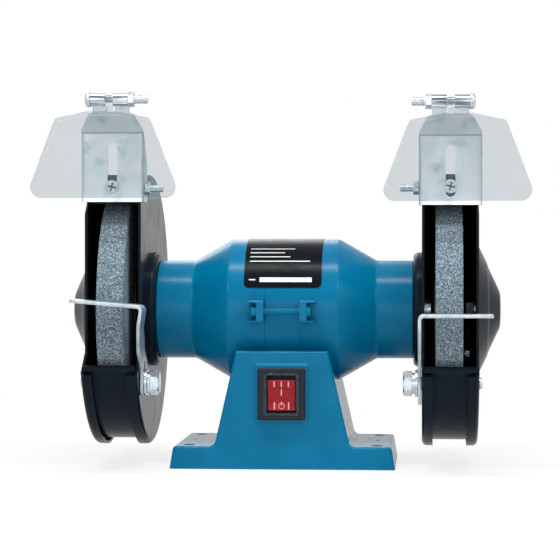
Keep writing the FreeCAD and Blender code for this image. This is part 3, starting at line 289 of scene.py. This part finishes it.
def brightSteel():
    finish = newFinish("brightSteel", srgb(190, 200, 207), 0.24, 0.9)
    varyColour(finish, grain(finish, 300), [(0.3, srgb(172, 183, 191)), (0.7, srgb(206, 215, 221))])
    varyRoughness(finish, grain(finish, 600), 0.18, 0.34)
    return finish


def darkSteel():
    finish = newFinish("darkSteel", srgb(72, 76, 80), 0.4, 0.9)
    varyRoughness(finish, grain(finish, 300), 0.32, 0.5)
    addBump(finish, grain(finish, 800), 0.08, 0.0002)
    return finish


def clearSheet():
    # thin clear sheet: light passes straight through, with a faint haze
    finish = newFinish("clearSheet", srgb(76, 110, 124), 0.08)
    varyColour(finish, grain(finish, 40), [(0.3, srgb(70, 104, 118)), (0.7, srgb(82, 116, 130))])
    varyRoughness(finish, grain(finish, 35), 0.05, 0.12)
    setSocket(finish, "Alpha", 0.245)
    return finish


def shieldEdgeHighlight():
    # painted highlight: the cut and moulded edges of the sheet get a near-white colour that stands for the
    # light they gather
    finish = newFinish("shieldEdgeHighlight", srgb(240, 244, 245), 0.15)
    varyRoughness(finish, grain(finish, 120), 0.1, 0.25)
    setSocket(finish, "Alpha", 0.6)
    return finish


def blackMoulding():
    finish = newFinish("blackMoulding", srgb(24, 27, 34), 0.3)
    varyRoughness(finish, grain(finish, 500), 0.26, 0.4)
    addBump(finish, grain(finish, 1500), 0.06, 0.0002)
    setSocket(finish, "Specular IOR Level", 0.2)
    return finish


def redMoulding():
    finish = newFinish("redMoulding", srgb(150, 20, 32), 0.25)
    varyColour(finish, grain(finish, 200), [(0.3, srgb(140, 16, 28)), (0.7, srgb(160, 26, 38))])
    setSocket(finish, "Specular IOR Level", 0.2)
    return finish


def labelFilm():
    finish = newFinish("labelFilm", srgb(14, 18, 22), 0.22)
    varyRoughness(finish, grain(finish, 80), 0.18, 0.3)
    setSocket(finish, "Specular IOR Level", 0.045)
    return finish


def whiteInk():
    finish = newFinish("whiteInk", srgb(238, 240, 242), 0.5)
    varyColour(finish, grain(finish, 900), [(0.3, srgb(228, 231, 234)), (0.7, srgb(244, 245, 246))])
    return finish


def markInk():
    finish = newFinish("markInk", srgb(222, 166, 162), 0.45)
    varyColour(finish, grain(finish, 1500), [(0.3, srgb(212, 150, 148)), (0.7, srgb(230, 180, 176))])
    return finish


def blackRubber():
    finish = newFinish("blackRubber", srgb(24, 24, 25), 0.75)
    addBump(finish, grain(finish, 1200), 0.15, 0.0002)
    return finish


def woundCopper():
    finish = newFinish("woundCopper", srgb(150, 84, 44), 0.35, 0.8)
    addBump(finish, grain(finish, 900), 0.4, 0.0004)
    return finish


def bladeBrass():
    finish = newFinish("bladeBrass", srgb(190, 160, 90), 0.3, 1.0)
    varyRoughness(finish, grain(finish, 500), 0.24, 0.4)
    return finish


def drawnCan():
    finish = newFinish("drawnCan", srgb(196, 199, 203), 0.35, 1.0)
    varyRoughness(finish, grain(finish, 200), 0.3, 0.45)
    return finish


finishes = {
    "blue_paint": bluePaint(), "black_paint": blackEnamel(), "abrasive": grit(), "zinc_plate": zincPlate(),
    "bright_steel": brightSteel(), "bearing_steel": brightSteel(), "dark_steel": darkSteel(),
    "clear_plastic": clearSheet(), "black_plastic": blackMoulding(), "red_plastic": redMoulding(),
    "label_film": labelFilm(), "rubber": blackRubber(), "copper": woundCopper(), "brass": bladeBrass(),
    "can_aluminium": drawnCan(),
}
whiteBar = whiteInk()
rockerInk = markInk()
paintedEdgeHighlight = shieldEdgeHighlight()
# dull zinc of the tool rests, also used as painted shade on the shield bracket's crease, flange and cut edges
restZincAndFoldShade = dullZinc()
litFrontZinc = paintedLitZinc()
knuckleZinc = rolledZinc()
# painted light: the bracket screws take the brighter painted-lit zinc
ownFinish = {"left_tool_rest": restZincAndFoldShade, "right_tool_rest": restZincAndFoldShade, "bracket_screws": litFrontZinc}
# painted shade: the cross recesses of the screw heads get this darker steel
recessShade = darkSteel()
for node, piece in nodes.items():
    giveFinish(piece, finishes[slotOf[node]])
print("finishes made:", len(finishes))


# what shows is a copy with smooth shading and softened edges

edgeWidths = {
    "base_casting": 0.3, "left_end_bell": 0.4, "right_end_bell": 0.4, "stator_core": 0.4,
    "left_inner_guard": 0.3, "right_inner_guard": 0.3, "left_guard_band": 0.3, "right_guard_band": 0.3,
    "left_outer_cover": 0.3, "right_outer_cover": 0.3, "nameplate": 0.08,
    "left_grinding_wheel": 0.15, "right_grinding_wheel": 0.15,
    "left_tool_rest": 0.35, "right_tool_rest": 0.35,
    "left_shield_bracket": 0.25, "right_shield_bracket": 0.25,
    "left_eye_shield": 0.35, "right_eye_shield": 0.35, "switch_housing": 0.25, "switch_dust_frame": 0.2,
    "switch_rocker": 0.2, "cord_grommet": 0.2, "bottom_cover": 0.2,
    "left_rest_bolt": 0.25, "right_rest_bolt": 0.25, "left_rest_washers": 0.2, "right_rest_washers": 0.2,
    "left_hinge_bolt": 0.15, "right_hinge_bolt": 0.15, "left_hinge_nut": 0.25, "right_hinge_nut": 0.25,
    "housing_screws": 0.15, "housing_nuts": 0.25, "side_bolts": 0.15, "side_nuts": 0.25,
    "bracket_screws": 0.12, "cover_screws": 0.12, "bracket_nuts": 0.25, "cover_nuts": 0.25,
    "rotor_shaft": 0.2, "wheel_nuts": 0.3, "inner_flanges": 0.2, "outer_flanges": 0.2,
    "rest_weld_nuts": 0.25, "guard_mount_screws": 0.15, "bottom_cover_screws": 0.12,
}


crossHeads = {
    "width": 1.0, "length": 5.2, "depth": 1.8, "turn": 14,
    "bracketX": 99.75, "coverCircle": 71.4, "coverAngles": (-35.6, 95.0, 205.0),
    # faces of a recess: walls stand square to the head, the floor lies near the full depth
    "wallTilt": 0.3, "floorBand": 0.2, "reach": 0.52, "skin": 0.05, "deepest": 2.0,
}


def crossRecesses(piece, places, outward):
    # a cross of two bars is cut into each head; places are the middles of the heads' outer faces
    for place in places:
        for turn in (crossHeads["turn"], crossHeads["turn"] + 90):
            clearSelection()
            bpy.ops.mesh.primitive_cube_add(size=1)
            bar = bpy.context.active_object
            bar.scale = (crossHeads["length"] * mm, 2 * crossHeads["depth"] * mm, crossHeads["width"] * mm)
            bar.rotation_euler = (0, math.radians(turn), 0)
            settle(bar)
            bar.rotation_mode = "QUATERNION"
            bar.rotation_quaternion = Vector((0, -1, 0)).rotation_difference(Vector(outward(place)))
            bar.location = place
            settle(bar)
            applyModifier(piece, "BOOLEAN", operation="DIFFERENCE", solver="EXACT", object=bar)
            bpy.data.objects.remove(bar)


def bracketHeads():
    low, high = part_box("bracket_screws")
    middle = (low[2] + high[2]) / 2
    return [(sign * crossHeads["bracketX"] * mm, low[1], middle) for sign in (-1, 1)]


def coverHeads():
    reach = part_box("cover_screws")[1][0]
    circle = crossHeads["coverCircle"] * mm
    places = []
    for sign in (-1, 1):
        for angle in crossHeads["coverAngles"]:
            turn = math.radians(angle)
            places.append((sign * reach, -circle * math.cos(turn), shaftHeight + circle * math.sin(turn)))
    return places


def facingFront(place):
    return (0, -1, 0)


def facingSide(place):
    return (place[0], 0, 0)


def shadeRecesses(piece, places, outward):
    piece.data.materials.append(recessShade)
    reach = crossHeads["length"] * crossHeads["reach"] * mm
    floor = (crossHeads["depth"] - crossHeads["floorBand"]) * mm
    for face in piece.data.polygons:
        for place in places:
            away = Vector(outward(place)).normalized()
            offset = face.center - Vector(place)
            depth = -offset.dot(away)
            radial = (offset + away * depth).length
            inside = abs(face.normal.dot(away)) < crossHeads["wallTilt"] or depth > floor
            below = crossHeads["skin"] * mm < depth < crossHeads["deepest"] * mm
            if radial < reach and below and inside:
                face.material_index = 1


foldLook = {
    "creaseHalf": 0.4, "knuckleDrop": 10.0,
    # directions that tell the leaning top, the flat front and the edges apart
    "leanFrom": -0.96, "leanTo": -0.85, "leanDown": -0.25, "leastArea": 1e-5,
    "creaseFront": -0.5, "edgeSide": 0.6, "flatFront": -0.85,
}


def findCrease(piece):
    leaning = [face for face in piece.data.polygons
               if foldLook["leanFrom"] < face.normal.y < foldLook["leanTo"]
               and face.normal.z < foldLook["leanDown"] and face.area > foldLook["leastArea"]]
    return min(piece.data.vertices[corner].co.z for face in leaning for corner in face.vertices)


def paintFoldLightAndShade(piece):
    # painted light and shade: the flat front faces get the brighter painted-lit zinc, and the crease, the
    # flange and the cut edges get the duller zinc as painted shade
    crease = findCrease(piece)
    half = foldLook["creaseHalf"] * mm
    flatTop = max(corner.co.z for corner in piece.data.vertices) - foldLook["knuckleDrop"] * mm
    startEdit(piece)
    for height in (crease - half, crease + half):
        bpy.ops.mesh.select_all(action="SELECT")
        bpy.ops.mesh.bisect(plane_co=(0, 0, height), plane_no=(0, 0, 1))
    endEdit()
    for finish in (restZincAndFoldShade, litFrontZinc, knuckleZinc):
        piece.data.materials.append(finish)
    for face in piece.data.polygons:
        onCrease = abs(face.center.z - crease) < half and face.normal.y < foldLook["creaseFront"]
        if face.center.z > flatTop:
            face.material_index = 3
        elif onCrease or abs(face.normal.x) > foldLook["edgeSide"]:
            face.material_index = 1
        elif face.normal.y < foldLook["flatFront"]:
            face.material_index = 2


shieldEdges = {"flatFront": 0.8}


def paintShieldEdgeHighlights(piece):
    # painted highlight on the faces of the sheet that do not face front
    piece.data.materials.append(paintedEdgeHighlight)
    for face in piece.data.polygons:
        if abs(face.normal.y) < shieldEdges["flatFront"]:
            face.material_index = 1


crossHeaded = {"bracket_screws": (bracketHeads(), facingFront), "cover_screws": (coverHeads(), facingSide)}


def refine(node):
    piece = copyOfNode(node, node + ".fine")
    if node in crossHeaded:
        crossRecesses(piece, *crossHeaded[node])
    softenEdges(piece, edgeWidths[node] * mm)
    standFor(piece, node, ownFinish.get(node, finishes[slotOf[node]]))
    if node in crossHeaded:
        shadeRecesses(piece, *crossHeaded[node])
    if node.endswith("shield_bracket"):
        paintFoldLightAndShade(piece)
    if node.endswith("eye_shield"):
        paintShieldEdgeHighlights(piece)
    return piece


fine = {node: refine(node) for node in edgeWidths}
print("pieces refined:", len(fine))


# threads on the bolt ends that show

threadRows = [
    # name, node, start, end, y, z, core radius and pitch in mm; no y and z means the middle of the node
    ("leftHingeThread", "left_hinge_bolt", -84.6, -77.6, None, None, 2.45, 0.8),
    ("rightHingeThread", "right_hinge_bolt", 77.6, 84.6, None, None, 2.45, 0.8),
    ("leftSideThread", "side_bolts", -77.6, -70.8, -50.0, 167.0, 2.0, 0.7),
    ("rightSideThread", "side_bolts", 70.8, 77.6, -50.0, 167.0, 2.0, 0.7),
    ("frontLugThread", "housing_screws", -10.4, 10.4, -47.5, 94.0, 2.0, 0.7),
    ("rearLugThread", "housing_screws", -10.4, 10.4, 47.5, 94.0, 2.0, 0.7),
    ("leftShaftThread", "rotor_shaft", -119.0, -115.0, 0.0, 94.0, 5.0, 1.25),
    ("rightShaftThread", "rotor_shaft", 115.0, 119.0, 0.0, 94.0, 5.0, 1.25),
]
threadShape = {"side": 0.45, "sink": 0.1, "steps": 20, "smoothAngle": 40}


def makeThread(name, node, start, end, y, z, core, pitch):
    if y is None:
        low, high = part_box(node)
        y = (low[1] + high[1]) / 2 / mm
        z = (low[2] + high[2]) / 2 / mm
    clearSelection()
    bpy.ops.mesh.primitive_circle_add(vertices=3, radius=pitch * threadShape["side"] * mm,
                                      rotation=(math.pi / 2, 0, 0))
    piece = bpy.context.active_object
    piece.name = name
    settle(piece)
    startEdit(piece)
    bpy.ops.mesh.normals_make_consistent(inside=False)
    bpy.ops.transform.translate(value=((core - pitch * threadShape["sink"]) * mm, 0, 0))
    endEdit()
    turns = int((end - start) / pitch)
    applyModifier(piece, "SCREW", axis="Z", angle=2 * math.pi, screw_offset=pitch * mm, iterations=turns,
                  steps=threadShape["steps"], render_steps=threadShape["steps"], use_merge_vertices=True)
    piece.rotation_euler = (0, math.pi / 2, 0)
    piece.location = (start * mm, y * mm, z * mm)
    settle(piece)
    softenEdges(piece, 0, angle=threadShape["smoothAngle"])
    attach(piece, bodyOf[node], finishes[slotOf[node]])


for row in threadRows:
    makeThread(*row)
print("threads cut:", len(threadRows))


# print on the rating plate and the rocker: thin proud cuts of the surface below

def keepBelow(place, normal):
    bpy.ops.mesh.select_all(action="SELECT")
    bpy.ops.mesh.bisect(plane_co=place, plane_no=normal, use_fill=True, clear_outer=True)


def fatten(height):
    bpy.ops.mesh.select_all(action="SELECT")
    bpy.ops.transform.shrink_fatten(value=height)


markProud = {"plate": 0.03, "rocker": 0.04}
plateMarks = [
    # left, right, lower and upper edge: mm along the shaft, degrees round it
    (-13.8, 17.4, 23.7, 27.6),
    (-20.2, -16.4, 25.2, 26.2),
    (-20.2, 16.0, 43.0, 43.8),
    (-20.2, 4.0, 48.0, 48.8),
    (-20.2, 0.5, 53.0, 53.8),
    (-20.2, 6.5, 58.5, 59.3),
]


def markPlate(index, left, right, lower, upper):
    piece = copyOfNode("nameplate", "plateMark." + str(index))
    axis = (0, 0, shaftHeight)
    startEdit(piece)
    keepBelow((left * mm, 0, 0), (-1, 0, 0))
    keepBelow((right * mm, 0, 0), (1, 0, 0))
    for angle, sign in ((lower, -1), (upper, 1)):
        turn = math.radians(angle)
        keepBelow(axis, (0, sign * math.sin(turn), sign * math.cos(turn)))
    fatten(markProud["plate"] * mm)
    endEdit()
    softenEdges(piece, 0)
    attach(piece, "frame", whiteBar)


for index, row in enumerate(plateMarks):
    markPlate(index, *row)

rockerMarks = [
    # left, right, lower and upper edge in mm from the rocker's pivot, along its own slope
    (-4.6, -3.9, 5.0, 8.6), (-0.35, 0.35, 5.0, 8.6), (3.9, 4.6, 5.0, 8.6),
    (-0.35, 0.35, -0.2, 3.6),
    (-4.6, -3.9, -8.4, -4.2), (3.9, 4.6, -8.4, -4.2), (-0.25, 0.25, -6.4, -3.9),
]
rockerPose = {"pivot": (0, -0.045, 0.045), "lean": math.radians(9), "markBack": 3.4}
# the dished face leans a little less than the rocker's chord at the ring
ringLook = {"up": -6.4, "out": 4.95, "radius": 1.7, "wire": 0.24,
            "lessLean": math.radians(8.8), "smoothAngle": 60}


def rockerAxes():
    lean = rockerPose["lean"]
    up = Vector((0, -math.sin(lean), math.cos(lean)))
    inward = Vector((0, math.cos(lean), math.sin(lean)))
    return Vector(rockerPose["pivot"]), up, inward


def markRocker(index, left, right, lower, upper):
    piece = copyOfNode("switch_rocker", "rockerMark." + str(index))
    pivot, up, inward = rockerAxes()
    startEdit(piece)
    keepBelow((left * mm, 0, 0), (-1, 0, 0))
    keepBelow((right * mm, 0, 0), (1, 0, 0))
    keepBelow(pivot + up * lower * mm, -up)
    keepBelow(pivot + up * upper * mm, up)
    keepBelow(pivot - inward * rockerPose["markBack"] * mm, inward)
    fatten(markProud["rocker"] * mm)
    endEdit()
    softenEdges(piece, 0)
    attach(piece, "rocker", rockerInk)


def rockerRing():
    pivot, up, inward = rockerAxes()
    clearSelection()
    bpy.ops.mesh.primitive_torus_add(major_radius=ringLook["radius"] * mm, minor_radius=ringLook["wire"] * mm,
                                     major_segments=40, minor_segments=10)
    piece = bpy.context.active_object
    piece.name = "rockerRing"
    settle(piece)
    piece.rotation_euler = (math.pi / 2 + rockerPose["lean"] - ringLook["lessLean"], 0, 0)
    piece.location = pivot + up * ringLook["up"] * mm - inward * ringLook["out"] * mm
    settle(piece)
    softenEdges(piece, 0, angle=ringLook["smoothAngle"])
    attach(piece, "rocker", rockerInk)


for index, row in enumerate(rockerMarks):
    markRocker(index, *row)
rockerRing()
print("marks printed:", len(plateMarks) + len(rockerMarks) + 1)


# stage, light and camera

stageLook = {"floorSize": 8.0, "floorDrop": 0.0002, "floorShade": 0.9,
             "nearShare": 0.8, "nearRadius": 0.2, "farRadius": 0.6}
skyLook = {"onObject": 0.3, "seen": 1.0}
lampRows = [
    # name, place, aim, size across, size along, power
    ("overheadBox", (0.0, -0.35, 1.25), (0.0, -0.02, 0.1), 1.1, 0.16, 15.0),
    ("leftBox", (-0.9, -1.17, 1.12), (0.0, 0.0, 0.1), 0.32, 0.32, 3.4),
    ("rightBox", (0.9, -1.17, 1.12), (0.0, 0.0, 0.1), 0.32, 0.32, 4.2),
    ("sideBox", (1.6, -0.8, 0.7), (0.0, 0.0, 0.1), 0.8, 0.8, 3.0),
    ("backBox", (-0.5, 1.7, 1.1), (0.0, 0.0, 0.1), 1.0, 1.0, 7.0),
    ("fillBox", (-0.1, -1.6, 0.27), (0.0, 0.0, 0.17), 0.8, 0.5, 2.1),
]
cameraView = {"place": (0.086, -1.3, 0.1317), "aim": (-0.0043, 0.0, 0.112), "lens": 136.0}


def aimAt(thing, target):
    toward = Vector(target) - thing.location
    thing.rotation_mode = "QUATERNION"
    thing.rotation_quaternion = toward.to_track_quat("-Z", "Y")


def makeStage():
    clearSelection()
    bpy.ops.mesh.primitive_plane_add(size=stageLook["floorSize"], location=(0, 0, -stageLook["floorDrop"]))
    floor = bpy.context.active_object
    floor.name = "floor"
    paper = newFinish("floorPaper", grey(stageLook["floorShade"]), 0.9)
    shader = shaderOf(paper)
    output = paper.node_tree.nodes["Material Output"]
    glow = addNode(paper, "ShaderNodeEmission")
    path = addNode(paper, "ShaderNodeLightPath")
    # the paper keeps the shadow near the object and fades to plain white further out
    distance = addNode(paper, "ShaderNodeVectorMath", operation="LENGTH")
    join(paper, placeCoords(paper), distance.inputs[0])
    fade = addNode(paper, "ShaderNodeMapRange", interpolation_type="SMOOTHSTEP")
    fade.inputs["From Min"].default_value = stageLook["nearRadius"]
    fade.inputs["From Max"].default_value = stageLook["farRadius"]
    fade.inputs["To Min"].default_value = stageLook["nearShare"]
    fade.inputs["To Max"].default_value = 1.0
    join(paper, distance.outputs["Value"], fade.inputs["Value"])
    share = addNode(paper, "ShaderNodeMath", operation="MULTIPLY")
    mix = addNode(paper, "ShaderNodeMixShader")
    seen = addNode(paper, "ShaderNodeMath", operation="MAXIMUM")
    join(paper, path.outputs["Is Camera Ray"], seen.inputs[0])
    join(paper, path.outputs["Is Glossy Ray"], seen.inputs[1])
    join(paper, seen.outputs[0], share.inputs[0])
    join(paper, fade.outputs["Result"], share.inputs[1])
    join(paper, share.outputs[0], mix.inputs["Fac"])
    join(paper, shader.outputs["BSDF"], mix.inputs[1])
    join(paper, glow.outputs["Emission"], mix.inputs[2])
    join(paper, mix.outputs["Shader"], output.inputs["Surface"])
    giveFinish(floor, paper)


def makeSky():
    sky = bpy.context.scene.world or bpy.data.worlds.new("studio")
    bpy.context.scene.world = sky
    sky.use_nodes = True
    tree = sky.node_tree
    background = tree.nodes["Background"]
    background.inputs["Color"].default_value = grey(1.0)
    path = tree.nodes.new("ShaderNodeLightPath")
    seen = tree.nodes.new("ShaderNodeMath")
    seen.operation = "MAXIMUM"
    glossy = tree.nodes.new("ShaderNodeMath")
    glossy.operation = "MAXIMUM"
    tree.links.new(path.outputs["Is Camera Ray"], seen.inputs[0])
    tree.links.new(path.outputs["Is Transmission Ray"], glossy.inputs[0])
    tree.links.new(path.outputs["Is Glossy Ray"], glossy.inputs[1])
    tree.links.new(glossy.outputs[0], seen.inputs[1])
    level = tree.nodes.new("ShaderNodeMapRange")
    level.inputs["To Min"].default_value = skyLook["onObject"]
    level.inputs["To Max"].default_value = skyLook["seen"]
    tree.links.new(seen.outputs[0], level.inputs["Value"])
    tree.links.new(level.outputs["Result"], background.inputs["Strength"])


def makeLamps():
    for name, place, aim, across, along, power in lampRows:
        lamp = bpy.data.lights.new(name, "AREA")
        lamp.shape = "RECTANGLE"
        lamp.size = across
        lamp.size_y = along
        lamp.energy = power
        holder = bpy.data.objects.new(name, lamp)
        bpy.context.scene.collection.objects.link(holder)
        holder.location = place
        aimAt(holder, aim)


def makeCamera():
    lens = bpy.data.cameras.new("photoView")
    lens.lens = cameraView["lens"]
    lens.sensor_width = 36.0
    lens.clip_end = 50.0
    holder = bpy.data.objects.new("photoView", lens)
    bpy.context.scene.collection.objects.link(holder)
    holder.location = cameraView["place"]
    aimAt(holder, cameraView["aim"])
    bpy.context.scene.camera = holder


makeStage()
makeSky()
makeLamps()
makeCamera()
bpy.context.scene.view_settings.view_transform = "Standard"
print("stage, light and camera set")
